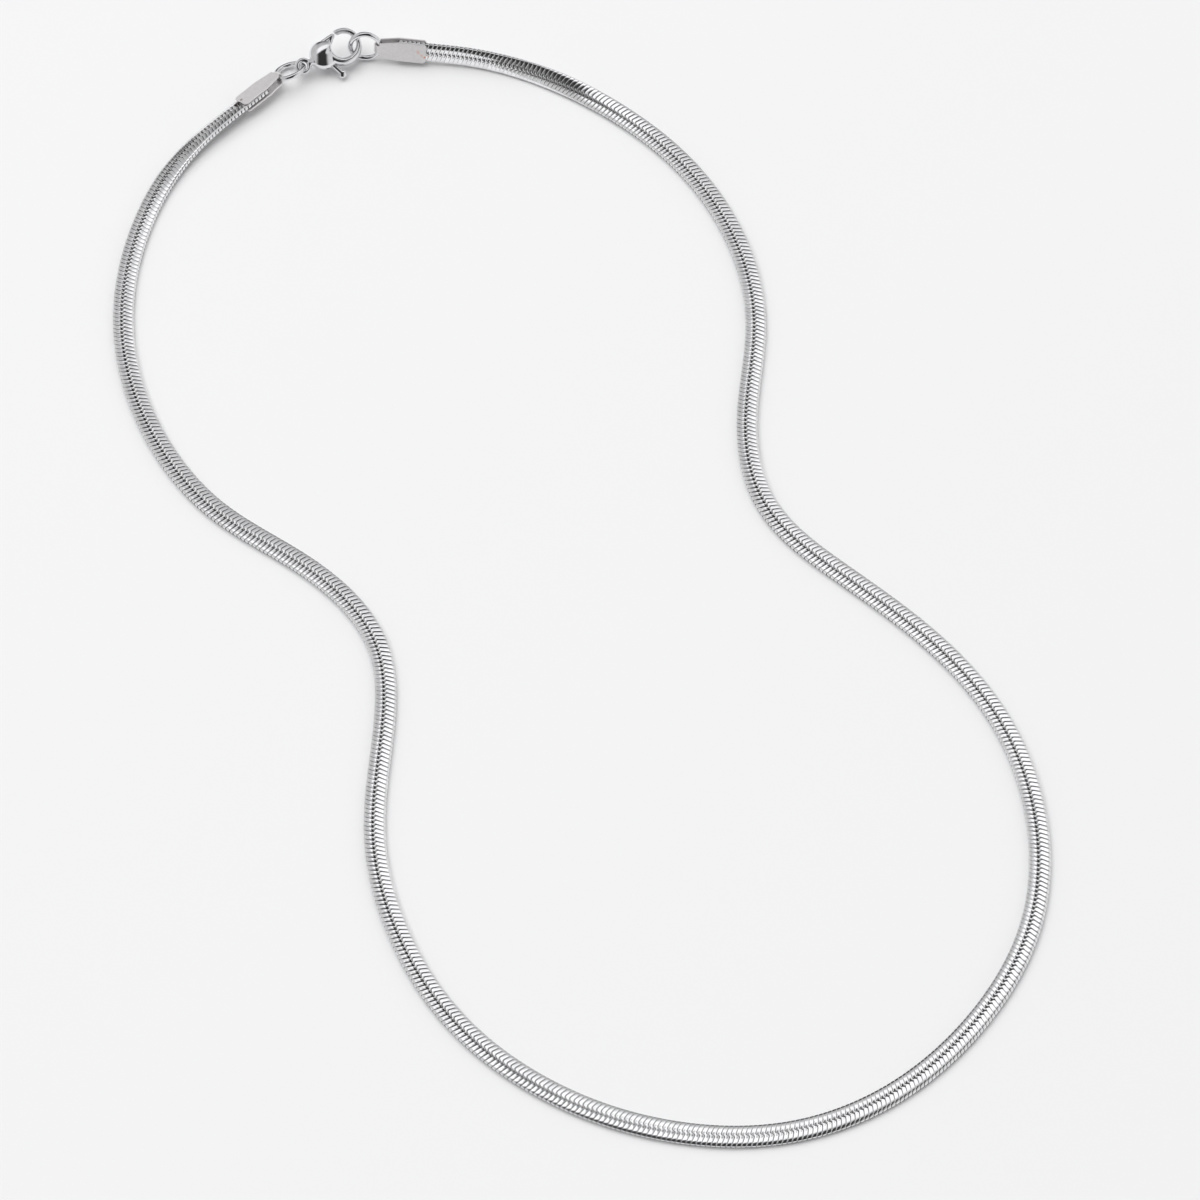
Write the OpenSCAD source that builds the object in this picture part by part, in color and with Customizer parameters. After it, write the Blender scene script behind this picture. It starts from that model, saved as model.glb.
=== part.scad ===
/* [Chain] */
// Width of the chain across its flat side
chain_width = 2.9; // [2.5:0.1:3.2]
// Thickness of the chain
chain_thickness = 0.9; // [0.8:0.05:1]
// Radius that rounds the chain's two long edges
chain_edge_radius = 0.35; // [0.2:0.05:0.4]
// Rings of the swept chain, from one end to the other
chain_rings = 78; // [60:1:80]

/* [End caps] */
// Thickness of the sheet that the end caps are folded from
sheet = 0.25; // [0.2:0.05:0.3]
// Width of an end cap's leaves over the chain
leaf_width = 3.05; // [2.9:0.05:3.3]
// Width of an end cap's leaves at the nose
nose_width = 2.1; // [1.8:0.1:2.4]
// Width of the narrow bend that joins the two leaves
fold_width = 1.2; // [1:0.1:1.5]
// Depth of an end cap, from its mouth to the inside of its fold
cap_depth = 7.2; // [6.8:0.1:8]
// Length of the full-width stretch of the leaves
leaf_straight = 4; // [3:0.1:5]
// Size of the cut corners at the mouth
leaf_corner = 0.35; // [0.1:0.05:0.6]
// Length of chain between the leaves
grip = 4.5; // [3.5:0.1:5]

/* [Jump rings] */
// Outer diameter of both jump rings
ring_outer = 5; // [4.8:0.1:5.4]
// Thickness of their wire
ring_wire = 0.75; // [0.6:0.05:0.8]

/* [Clasp] */
// Outer diameter of the clasp's eye
eye_outer = 2.4; // [2.3:0.05:2.8]
// Thickness of the eye's rim
eye_wire = 0.5; // [0.4:0.05:0.55]
// Distance from the middle of the eye to the middle of the hook
hook_reach = 6.5; // [6.3:0.05:6.7]
// Outer diameter of the hook
hook_outer = 5.2; // [5:0.05:5.4]
// Width of the hook's arm
hook_arm = 0.8; // [0.6:0.05:0.9]
// Height of the hook's arm
hook_height = 1.1; // [0.9:0.05:1.3]
// Diameter of the clasp's round body
body_width = 4.2; // [4:0.05:4.4]
// Height of the clasp's round body
body_height = 2.7; // [2.3:0.05:2.9]
// Radius that rounds the body's rim
body_rim = 1; // [0.8:0.05:1.1]
// Distance from the middle of the eye to the middle of the round body
body_reach = 3.3; // [3.2:0.05:3.4]

/* [Lever] */
// Thickness of the lever
lever_thickness = 0.7; // [0.5:0.05:0.8]
// Width of the lever's arms
lever_arm = 0.75; // [0.6:0.05:0.85]
// Length of the thumb tab, from the pivot
tab_length = 4; // [3.8:0.1:4.1]
// Width of the thumb tab's round end
tab_width = 1.2; // [0.9:0.05:1.3]
// Diameter of the pivot pin
pin_diameter = 0.7; // [0.5:0.05:0.8]
// Angle that the lever opens
lever_travel = 25; // [15:1:26]

/* [Clearances] */
// Gap between the chain and the leaves
chain_gap = 0.05; // [0.03:0.01:0.08]
// Gap between a jump ring and the fold that it hangs in
ring_gap = 0.06; // [0.04:0.01:0.1]
// Gap round the pivot pin
pin_gap = 0.04; // [0.03:0.01:0.06]
// Gap between the lever and the clasp's body
lever_gap = 0.08; // [0.06:0.01:0.12]
// Height of the lowest corner of the clasp's end cap above the surface
cap_clear = 0.03; // [0.02:0.01:0.06]

/* [Hidden] */
$fn = 48;
steel = "#c9cacd";
satin = "#bdbdc0";

// A place or way turned about X, then Y, then Z, as rotate() does
function turned(v, turn) =
    let (a = [v.x, v.y * cos(turn.x) - v.z * sin(turn.x), v.y * sin(turn.x) + v.z * cos(turn.x)],
         b = [a.x * cos(turn.y) + a.z * sin(turn.y), a.y, -a.x * sin(turn.y) + a.z * cos(turn.y)])
    [b.x * cos(turn.z) - b.y * sin(turn.z), b.x * sin(turn.z) + b.y * cos(turn.z), b.z];

// The clasp lies in its own frame with the eye's middle at the origin and the hook towards +X.
// Its height follows from its end cap, which lies on the surface
clasp_spot = [-37.75, 79.25];
clasp_turn = [28, -5, 26];
hook_side = 0.2;
hook_middle = [hook_reach, hook_side];

// The end caps lie in frames of their own: the chain stops at 0 and the fold lies towards +X.
// Each turn: about the cap's length, its slope, and its heading
clasp_cap_turn = [-29, -3, 42.6];
catch_cap_turn = [-68, -3, 175.3];
fold_space = cap_depth - grip;
// The fold is open enough for the chain and for a ring that lies a little aslant in it
fold_radius = max(chain_thickness / 2 + chain_gap, ring_wire / 2 + 2 * ring_gap);
fold_middle = fold_space - fold_radius;
taper_start = leaf_straight - grip;
cap_thickness = 2 * (fold_radius + sheet);

// The jump rings hang in the folds. In the plane of its cap a ring is turned to one side, and then
// the farther corner of the narrow bend touches the inside of the ring, but for the gap.
// Each turn: about the cap's length, about the bend, and in the cap's plane
clasp_ring_turn = [-4, 8, -6];
catch_ring_turn = [-5, -4, -3];
ring_radius = (ring_outer - ring_wire) / 2;
ring_room = ring_outer / 2 - ring_wire - ring_gap;
ring_seat = fold_space - ring_gap - ring_wire / 2;
function ring_reach(turn) =
    sqrt(pow(ring_room, 2) - pow(fold_width / 2 * cos(turn), 2)) - fold_width / 2 * abs(sin(turn));
function ring_middle(turn) =
    [fold_space - ring_seat + ring_reach(turn.z) * cos(turn.z), ring_reach(turn.z) * sin(turn.z), 0];

// A place on a ring's wire, in its cap's frame. The wire runs through the middle of the clasp's eye
// and through the hook, and so the clasp places the rings, the rings place the caps,
// and the caps place the ends of the chain
function on_wire(turn, angle) =
    [ring_seat, 0, 0]
    + turned(ring_middle(turn) + ring_radius * [cos(angle), sin(angle), 0], [turn.x, turn.y, 0]);
cap_drop = -grip * sin(clasp_cap_turn.y)
    + leaf_width / 2 * abs(sin(clasp_cap_turn.x)) + cap_thickness / 2 * cos(clasp_cap_turn.x);
eye_on_wire = -25;
eye_from_cap = turned(on_wire(clasp_ring_turn, eye_on_wire), clasp_cap_turn);
clasp_place = [clasp_spot.x, clasp_spot.y, cap_clear + cap_drop + eye_from_cap.z];
hook_on_wire = 1;
hook_play = 0.54;
wire_in_hook = hook_middle
    + (hook_outer / 2 - hook_arm - ring_wire / 2 - hook_play) * [cos(-20), sin(-20)];
clasp_cap_place = clasp_place - eye_from_cap;
catch_cap_place = clasp_place + turned([wire_in_hook.x, wire_in_hook.y, 0], clasp_turn)
    - turned(on_wire(catch_ring_turn, hook_on_wire), catch_cap_turn);

// The chain's cross-section: a flat bar with rounded long edges, twelve points
section = [
    for (quarter = [0:3], turn = [0, 45, 90])
        let (side = quarter == 0 || quarter == 3 ? 1 : -1, up = quarter < 2 ? 1 : -1)
        [side * (chain_width / 2 - chain_edge_radius) + chain_edge_radius * cos(90 * quarter + turn),
         up * (chain_thickness / 2 - chain_edge_radius) + chain_edge_radius * sin(90 * quarter + turn)]
];
// How far the section reaches below the chain's middle line when it is rolled
function chain_drop(roll) = max([for (p = section) -p.x * sin(roll) - p.y * cos(roll)]);

// The chain's way on the surface, as the corners that its middle line is drawn towards.
// Each row: place across, place up, roll about its own line, and lift off the surface.
// The last three corners at each end lie on one line with the end cap, and so the chain is straight in it
function end_row(place, turn, roll, back) =
    let (at = place - back * turned([1, 0, 0], turn))
    [at.x, at.y, roll, at.z - chain_drop(roll)];
straight = 6;
route = concat(
    [for (k = [0:2]) end_row(clasp_cap_place, clasp_cap_turn, -clasp_cap_turn.x, k * straight)],
    [
        [-57, 61.5, 0, 0], [-61.5, 48.5, 0, 0],
        [-62, 33.5, 0, 0], [-57, 19, 0, 0], [-48, 6.5, 0, 0], [-34.5, -0.5, 1, 0],
        [-23.5, -12, 1, 0], [-24, -27, 1, 0], [-26, -42, 0, 0], [-21.5, -57, 0, 0],
        [-13.5, -69.5, 0, 0], [-1, -78.5, 1, 0], [13, -83.3, 2, 0], [28.5, -83.8, 1, 0],
        [42.5, -78, 0, 0], [53.5, -67.5, 0, 0], [61, -54.5, -1, 0], [62.4, -39.5, -1, 0],
        [58.5, -24.5, 0, 0], [49.5, -12.5, 0, 0], [38, -3, -1, 0], [26, 6.5, -4, 0],
        [23.5, 21.5, -2, 0], [27, 37, 0, 0], [24, 52, -2, 0], [16, 65, -4, 0],
        [5, 74, -12, 0], [-4.5, 78.7, -55, 0]
    ],
    [for (k = [2:-1:0]) end_row(catch_cap_place, catch_cap_turn, catch_cap_turn.x, k * straight)]
);
last = len(route) - 1;

// Uniform cubic spline: each point is a smooth mean of four corners, and the line starts and ends on the first and last
function corner(i) =
    i < 0 ? 2 * route[0] - route[1] : i > last ? 2 * route[last] - route[last - 1] : route[i];
function spline(at) =
    let (i = min(floor(at), last - 1), u = at - i)
    (pow(1 - u, 3) * corner(i - 1) + (3 * pow(u, 3) - 6 * u * u + 4) * corner(i)
    + (3 * (u + u * u - pow(u, 3)) + 1) * corner(i + 1) + pow(u, 3) * corner(i + 2)) / 6;
function spline_way(at) =
    let (i = min(floor(at), last - 1), u = at - i)
    (-pow(1 - u, 2) * corner(i - 1) + (3 * u * u - 4 * u) * corner(i)
    + (1 + 2 * u - 3 * u * u) * corner(i + 1) + u * u * corner(i + 2)) / 2;

function chain_middle(at) = let (p = spline(at)) [p.x, p.y, chain_drop(p[2]) + p[3]];

// The swept chain: one ring of section points for each step along the way
function chain_ring(at) =
    let (middle = chain_middle(at), roll = spline(at)[2], way = spline_way(at),
         across = [-way.y, way.x, 0] / norm([way.x, way.y]))
    [for (p = section)
        middle + across * (p.x * cos(roll) - p.y * sin(roll))
        + [0, 0, p.x * sin(roll) + p.y * cos(roll)]];

module chain() {
    sides = len(section);
    points = [for (k = [0:chain_rings - 1]) each chain_ring(k * last / (chain_rings - 1))];
    walls = [
        for (k = [0:chain_rings - 2], s = [0:sides - 1])
            let (a = k * sides + s, b = k * sides + (s + 1) % sides)
            each [[a, a + sides, b], [b, a + sides, b + sides]]
    ];
    first_end = [for (s = [0:sides - 1]) s];
    last_end = [for (s = [sides - 1:-1:0]) (chain_rings - 1) * sides + s];
    color(steel) polyhedron(points, concat([first_end], walls, [last_end]));
}

module cap_side() {
    difference() {
        union() {
            translate([fold_middle, 0]) circle(r = fold_radius + sheet);
            translate([-grip, -fold_radius - sheet]) square([fold_middle + grip, 2 * (fold_radius + sheet)]);
        }
        translate([fold_middle, 0]) circle(r = fold_radius);
        translate([-grip - 1, -fold_radius]) square([fold_middle + grip + 1, 2 * fold_radius]);
    }
}

module cap_plan() {
    half = leaf_width / 2;
    half_fold = fold_width / 2;
    half_nose = nose_width / 2;
    end = fold_space + sheet + 1;
    polygon([
        [-grip, half - leaf_corner], [-grip + leaf_corner, half], [taper_start, half], [fold_middle, half_nose],
        [fold_middle, half_fold], [end, half_fold], [end, -half_fold], [fold_middle, -half_fold],
        [fold_middle, -half_nose], [taper_start, -half], [-grip + leaf_corner, -half], [-grip, -half + leaf_corner]
    ]);
}

module end_cap() {
    intersection() {
        rotate([90, 0, 0]) linear_extrude(2 * leaf_width, center = true) cap_side();
        linear_extrude(2 * cap_thickness, center = true) cap_plan();
    }
}

module at_clasp_cap() translate(clasp_cap_place) rotate(clasp_cap_turn) children();
module at_catch_cap() translate(catch_cap_place) rotate(catch_cap_turn) children();
module clasp_end_cap() color(satin) at_clasp_cap() end_cap();
module catch_end_cap() color(satin) at_catch_cap() end_cap();

module in_fold(turn) {
    translate([ring_seat, 0, 0]) rotate([turn.x, turn.y, 0]) translate(ring_middle(turn)) children();
}

module jump_ring() rotate_extrude() translate([ring_radius, 0]) circle(d = ring_wire);
module clasp_ring() color(steel) at_clasp_cap() in_fold(clasp_ring_turn) jump_ring();
module catch_ring() color(steel) at_catch_cap() in_fold(catch_ring_turn) jump_ring();

hook_radius = (hook_outer - hook_arm) / 2;
body_middle = [body_reach, 0.2];
pivot = [body_reach, -0.2];
tip_turn = 104;
tail_turn = -150;

// The lever: a gate from the pivot over the shoulder to the tip, and a thumb tab on the other side
gate_tip = hook_middle + hook_radius * [cos(tip_turn + 12), sin(tip_turn + 12)];
gate_shoulder = body_middle + (body_width - lever_arm) / 2 * [cos(77), sin(77)];
gate_reach = norm(gate_tip - pivot) + lever_arm / 2;
tab_turn = -67;
tab_end = pivot + (tab_length - tab_width / 2) * [cos(tab_turn), sin(tab_turn)];

module at_clasp() translate(clasp_place) rotate(clasp_turn) children();

module hook_section() {
    flat = hook_height - hook_arm;
    translate([hook_radius, 0]) {
        square([hook_arm, flat], center = true);
        for (end = [-1, 1]) translate([0, end * flat / 2]) circle(d = hook_arm);
    }
}

module hook() {
    translate(hook_middle) rotate(tail_turn)
        rotate_extrude(angle = tip_turn - tail_turn) hook_section();
}

// The body's half outline: two wide arcs that run smoothly into the rim
module body_outline() {
    rim_at = body_width / 2 - body_rim;
    half = body_height / 2;
    arc = (pow(rim_at, 2) + pow(half, 2) - pow(body_rim, 2)) / (2 * (half - body_rim));
    meet = rim_at * arc / (arc - body_rim);
    translate([rim_at, 0]) circle(r = body_rim);
    intersection() {
        translate([0, half - arc]) circle(r = arc);
        translate([0, arc - half]) circle(r = arc);
        translate([0, -half]) square([meet, body_height]);
    }
}

module round_body() {
    translate(body_middle) rotate_extrude() intersection() {
        body_outline();
        translate([0, -body_height]) square([body_width, 2 * body_height]);
    }
}

// The neck runs from the middle of the eye's rim into the body
module neck() {
    start = (eye_outer - eye_wire) / 2;
    end = body_reach - body_width / 2 + body_rim / 2;
    translate([start, 0, 0]) rotate([0, 90, 0]) cylinder(r1 = eye_wire / 2, r2 = body_rim * 0.8, h = end - start);
}

// A flat bar with round ends between two places
module bar(from, to, wide) {
    way = to - from;
    translate(from) rotate(atan2(way.y, way.x)) translate([0, -wide / 2]) square([norm(way), wide]);
    for (place = [from, to]) translate(place) circle(d = wide);
}

// Room for a strip from the pivot that turns from one angle to another
module swept_strip(from, to, half_width, reach) {
    function edge(turn, along, side) =
        pivot + [along * cos(turn) - side * sin(turn), along * sin(turn) + side * cos(turn)];
    steps = 6;
    polygon(concat(
        [edge(from, 0, half_width), edge(from, reach, half_width)],
        [for (k = [0:steps]) edge(from + (to - from) * k / steps, reach * 1.1, 0)],
        [edge(to, reach, -half_width), edge(to, 0, -half_width)]
    ));
}

module lever_slot() {
    gate_way = gate_tip - pivot;
    shoulder_way = gate_shoulder - pivot;
    half = lever_arm / 2 + lever_gap;
    linear_extrude(lever_thickness + 2 * lever_gap, center = true) {
        translate(pivot) circle(r = lever_arm + lever_gap);
        swept_strip(atan2(shoulder_way.y, shoulder_way.x) + 1, atan2(gate_way.y, gate_way.x) - lever_travel,
            half, norm(gate_way) - lever_arm / 2);
        swept_strip(tab_turn, tab_turn - lever_travel, half, tab_length);
    }
}

module clasp_body() {
    color(steel) at_clasp() {
        difference() {
            union() {
                difference() {
                    round_body();
                    translate(hook_middle) cylinder(r = hook_outer / 2 - hook_arm, h = 2 * body_height, center = true);
                }
                difference() {
                    hook();
                    intersection() {
                        translate(pivot) cylinder(r = gate_reach + lever_gap, h = 2 * hook_height, center = true);
                        translate([pivot.x, hook_side, -hook_height]) cube([hook_reach, hook_outer, 2 * hook_height]);
                    }
                }
                rotate_extrude() translate([(eye_outer - eye_wire) / 2, 0]) circle(d = eye_wire);
                neck();
            }
            lever_slot();
        }
        translate(pivot) cylinder(d = pin_diameter, h = body_height - 0.3, center = true);
    }
}

module clasp_lever() {
    color(steel) at_clasp() linear_extrude(lever_thickness, center = true) difference() {
        union() {
            translate(pivot) circle(r = lever_arm);
            bar(pivot, gate_tip, lever_arm);
            bar(pivot, gate_shoulder, lever_arm);
            bar(gate_shoulder, gate_tip, lever_arm);
            polygon([pivot, gate_tip, gate_shoulder]);
            bar(pivot, tab_end, lever_arm);
            translate(tab_end) circle(d = tab_width);
        }
        translate(pivot) circle(d = pin_diameter + 2 * pin_gap);
    }
}

chain();
clasp_end_cap();
catch_end_cap();
clasp_ring();
catch_ring();
clasp_body();
clasp_lever();
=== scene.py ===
"""Herringbone necklace chain with folded end caps, jump rings and a lobster clasp.

Laid out as an add-on and run as a script: each operator makes one piece or one group of like pieces.
All lengths are metres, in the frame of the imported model.
"""
import math

import bmesh
import bpy
import numpy as np
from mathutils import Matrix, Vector


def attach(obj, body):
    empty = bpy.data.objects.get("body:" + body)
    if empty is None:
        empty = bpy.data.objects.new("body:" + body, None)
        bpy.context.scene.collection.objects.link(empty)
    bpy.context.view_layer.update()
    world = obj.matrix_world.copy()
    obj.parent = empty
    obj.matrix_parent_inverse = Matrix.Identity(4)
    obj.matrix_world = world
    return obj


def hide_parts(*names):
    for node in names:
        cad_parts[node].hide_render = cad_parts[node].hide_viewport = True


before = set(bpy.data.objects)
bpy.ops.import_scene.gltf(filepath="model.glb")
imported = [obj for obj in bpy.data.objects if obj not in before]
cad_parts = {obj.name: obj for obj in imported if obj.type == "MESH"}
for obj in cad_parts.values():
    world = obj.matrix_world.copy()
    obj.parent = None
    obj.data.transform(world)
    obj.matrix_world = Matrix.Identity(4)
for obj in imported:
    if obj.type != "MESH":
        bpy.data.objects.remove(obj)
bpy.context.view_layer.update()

bl_info = {
    "name": "Herringbone necklace",
    "version": (1, 0, 0),
    "blender": (4, 5, 0),
    "location": "View3D > Sidebar > Necklace",
    "description": "Makes a flat herringbone necklace chain with its end caps, rings and clasp",
    "category": "Object",
}

MM = 0.001

# The way of the chain, as in the part's source: metres across, metres up, roll in degrees,
# and lift off the surface in metres
WAY = (
    (-0.0570, 0.0615, 0, 0), (-0.0615, 0.0485, 0, 0),
    (-0.0620, 0.0335, 0, 0), (-0.0570, 0.0190, 0, 0), (-0.0480, 0.0065, 0, 0), (-0.0345, -0.0005, 1, 0),
    (-0.0235, -0.0120, 1, 0), (-0.0240, -0.0270, 1, 0), (-0.0260, -0.0420, 0, 0), (-0.0215, -0.0570, 0, 0),
    (-0.0135, -0.0695, 0, 0), (-0.0010, -0.0785, 1, 0), (0.0130, -0.0833, 2, 0), (0.0285, -0.0838, 1, 0),
    (0.0425, -0.0780, 0, 0), (0.0535, -0.0675, 0, 0), (0.0610, -0.0545, -1, 0), (0.0624, -0.0395, -1, 0),
    (0.0585, -0.0245, 0, 0), (0.0495, -0.0125, 0, 0), (0.0380, -0.0030, -1, 0), (0.0260, 0.0065, -4, 0),
    (0.0235, 0.0215, -2, 0), (0.0270, 0.0370, 0, 0), (0.0240, 0.0520, -2, 0), (0.0160, 0.0650, -4, 0),
    (0.0050, 0.0740, -12, 0), (-0.0045, 0.0787, -55, 0),
)
STRAIGHT = 0.006

# Each end cap's frame, as in the part's source: where the chain stops, and turns about X, Y and Z
CLASP_CAP = ((-0.0430133, 0.0759695, 0.00166081), (-29, -3, 42.6))
CATCH_CAP = ((-0.0248006, 0.0821055, 0.00219413), (-68, -3, 175.3))
CHAIN_WIDTH = 0.0029
CHAIN_THICKNESS = 0.0009
CHAIN_EDGE = 0.00035


# Sizes and colours that a user would change

class ChainSettings(bpy.types.PropertyGroup):
    pitch: bpy.props.FloatProperty(
        name="Pitch", description="Length of chain that one link takes", default=0.000624,
        min=0.0003, max=0.002, precision=6, subtype="DISTANCE", unit="LENGTH")
    seam: bpy.props.FloatProperty(
        name="Seam", description="Gap between two links", default=0.00005,
        min=0, max=0.0003, precision=6, subtype="DISTANCE", unit="LENGTH")
    shoulder: bpy.props.FloatProperty(
        name="Shoulder", description="Width of the worn slope along each link's long edges",
        default=0.00006, min=0, max=0.0002, precision=6, subtype="DISTANCE", unit="LENGTH")
    drop: bpy.props.FloatProperty(
        name="Shoulder drop", description="How far that slope falls", default=0.000022,
        min=0, max=0.0001, precision=6, subtype="DISTANCE", unit="LENGTH")
    crest: bpy.props.FloatProperty(
        name="Crest", description="How much lower a link's long edges are than its middle line",
        default=0.000016, min=0, max=0.0001, precision=6, subtype="DISTANCE", unit="LENGTH")
    metal: bpy.props.FloatVectorProperty(
        name="Metal", description="Colour of the polished links", default=(0.90, 0.90, 0.91),
        min=0, max=1, size=3, subtype="COLOR")


class StageSettings(bpy.types.PropertyGroup):
    floor: bpy.props.FloatVectorProperty(
        name="Floor", description="Colour of the pale floor", default=(0.9, 0.9, 0.905),
        min=0, max=1, size=3, subtype="COLOR")
    key: bpy.props.FloatProperty(
        name="Soft light", description="Power of the soft light over the floor", default=25.6,
        min=0, max=1000, unit="POWER")


# Colours, nodes and meshes

def linear(colour):
    """An sRGB hex colour as linear RGBA.

    Each channel c is c / 12.92, or ((c + 0.055) / 1.055) ^ 2.4 above 0.04045.
    """
    parts = np.array([int(colour[i:i + 2], 16) for i in (1, 3, 5)]) / 255
    rgb = np.where(parts <= 0.04045, parts / 12.92, ((parts + 0.055) / 1.055) ** 2.4)
    return (*[float(c) for c in rgb], 1.0)


def add_node(tree, kind, links=None, inputs=None, **settings):
    """Adds one node.

    settings are its own properties, inputs its sockets' values, and links its incoming sockets.
    """
    node = tree.nodes.new(kind)
    for name, value in settings.items():
        setattr(node, name, value)
    for name, value in (inputs or {}).items():
        node.inputs[name].default_value = value
    for name, source in (links or {}).items():
        tree.links.new(source, node.inputs[name])
    return node


def new_material(name):
    """An empty material and its node tree."""
    material = bpy.data.materials.new(name)
    material.use_nodes = True
    material.node_tree.nodes.clear()
    return material, material.node_tree


def finish_material(tree, shader):
    """Sends a shader to the material's surface."""
    add_node(tree, "ShaderNodeOutputMaterial", {"Surface": shader.outputs[0]})


def set_ramp(ramp, stops):
    """Puts (place, linear RGBA) stops on a colour ramp."""
    while len(ramp.elements) > 1:
        ramp.elements.remove(ramp.elements[-1])
    ramp.elements[0].position, ramp.elements[0].color = stops[0]
    for place, colour in stops[1:]:
        ramp.elements.new(place).color = colour


def stained_and_shaded(tree, colour, place, spots):
    """Lays stains, and spots of painted shade, on a colour: each spot is (middle in metres, radius in metres,
    sRGB hex colour, strength).

    strength * smoothstep(1 - distance / radius), broken up by a fine noise, mixes its colour in.
    """
    speckle = add_node(tree, "ShaderNodeTexNoise", {"Vector": place}, {"Scale": 3500.0, "Detail": 3.0})
    grain = add_node(tree, "ShaderNodeMapRange", {"Value": speckle.outputs["Fac"]},
                     {"From Min": 0.38, "From Max": 0.6})
    for middle, radius, tone, strength in spots:
        away = add_node(tree, "ShaderNodeVectorMath", {0: place}, {1: middle}, operation="DISTANCE")
        near = add_node(tree, "ShaderNodeMapRange", {"Value": away.outputs["Value"]},
                        {"From Min": radius, "From Max": radius * 0.4, "To Max": strength},
                        interpolation_type="SMOOTHSTEP")
        share = add_node(tree, "ShaderNodeMath", {0: near.outputs[0], 1: grain.outputs[0]},
                         operation="MULTIPLY")
        mixed = add_node(tree, "ShaderNodeMixRGB", {"Fac": share.outputs[0], "Color1": colour},
                         {"Color2": linear(tone)})
        colour = mixed.outputs[0]
    return colour


def mesh_object(name, points, faces, smooth=True):
    """One object at the origin, from an array of points (n x 3) and a list of faces."""
    mesh = bpy.data.meshes.new(name)
    mesh.from_pydata(points.tolist(), [], faces)
    mesh.polygons.foreach_set("use_smooth", np.full(len(mesh.polygons), smooth))
    mesh.update()
    piece = bpy.data.objects.new(name, mesh)
    bpy.context.scene.collection.objects.link(piece)
    return piece


def point_values(piece, name, values):
    """Keeps one number for each point of the mesh, for a material to read."""
    attribute = piece.data.attributes.new(name, "FLOAT", "POINT")
    attribute.data.foreach_set("value", np.asarray(values, np.float32).ravel())


def wall_corners(rings, around):
    """For each wall between rings of points: its corner on the first ring, and the next one round it."""
    ring = np.arange(around)
    base = np.arange(rings - 1)[:, None] * around
    return (base + ring).ravel(), (base + (ring + 1) % around).ravel()


def turned(vector, turn):
    """A place turned about X, then Y, then Z, by degrees."""
    x, y, z = np.radians(turn)
    about_x = np.array([[1, 0, 0], [0, math.cos(x), -math.sin(x)], [0, math.sin(x), math.cos(x)]])
    about_y = np.array([[math.cos(y), 0, math.sin(y)], [0, 1, 0], [-math.sin(y), 0, math.cos(y)]])
    about_z = np.array([[math.cos(z), -math.sin(z), 0], [math.sin(z), math.cos(z), 0], [0, 0, 1]])
    return np.asarray(vector) @ (about_z @ about_y @ about_x).T


# The chain's way

def chain_outline():
    """The chain's cross-section in the source: a bar with rounded corners, three points on each."""
    quarter = np.repeat(np.arange(4), 3)
    angle = np.radians(90 * quarter + np.tile([0, 45, 90], 4))
    side = np.where((quarter == 0) | (quarter == 3), 1, -1)
    up = np.where(quarter < 2, 1, -1)
    across = side * (CHAIN_WIDTH / 2 - CHAIN_EDGE) + CHAIN_EDGE * np.cos(angle)
    height = up * (CHAIN_THICKNESS / 2 - CHAIN_EDGE) + CHAIN_EDGE * np.sin(angle)
    return across, height


def chain_drop(roll):
    """How far the rolled section reaches below its middle line: the largest of -x sin(roll) - y cos(roll)."""
    across, height = chain_outline()
    roll = np.radians(np.atleast_1d(roll))[:, None]
    return (-across * np.sin(roll) - height * np.cos(roll)).max(1)


def end_rows(cap, roll, order):
    """Three corners of the way on the end cap's own line, a straight stretch apart."""
    place, turn = cap
    steps = np.array(order)[:, None] * STRAIGHT
    at = np.asarray(place) - steps * turned([1, 0, 0], turn)
    return np.column_stack([at[:, 0], at[:, 1], np.full(3, roll), at[:, 2] - chain_drop(roll)])


def chain_corners():
    """All corners of the way, from one end cap to the other."""
    first = end_rows(CLASP_CAP, -CLASP_CAP[1][0], (0, 1, 2))
    final = end_rows(CATCH_CAP, CATCH_CAP[1][0], (2, 1, 0))
    return np.vstack([first, np.array(WAY), final])


def spline(corners, at):
    """Uniform cubic spline: (1-u)^3 a + (3u^3-6u^2+4) b + (1+3u+3u^2-3u^3) c + u^3 d, over 6."""
    rows = np.vstack([2 * corners[0] - corners[1], corners, 2 * corners[-1] - corners[-2]])
    i = np.minimum(at.astype(int), len(corners) - 2)
    u = (at - i)[:, None]
    return ((1 - u) ** 3 * rows[i] + (3 * u ** 3 - 6 * u ** 2 + 4) * rows[i + 1]
            + (1 + 3 * u + 3 * u ** 2 - 3 * u ** 3) * rows[i + 2] + u ** 3 * rows[i + 3]) / 6


def way_table(steps=9000):
    """Samples of the chain's middle line.

    They are the length along it, its place, its roll in radians, the way across it, and its bend.
    """
    corners = chain_corners()
    rows = spline(corners, np.linspace(0, len(corners) - 1, steps))
    middle = np.column_stack([rows[:, 0], rows[:, 1], chain_drop(rows[:, 2]) + rows[:, 3]])
    length = np.r_[0, np.cumsum(np.linalg.norm(np.diff(middle, axis=0), axis=1))]
    way = np.gradient(middle, axis=0)[:, :2]
    way /= np.linalg.norm(way, axis=1)[:, None]
    across = np.column_stack([-way[:, 1], way[:, 0]])
    bend = -np.gradient(np.unwrap(np.arctan2(way[:, 1], way[:, 0])), length)
    return length, middle, np.radians(rows[:, 2]), across, bend


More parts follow.
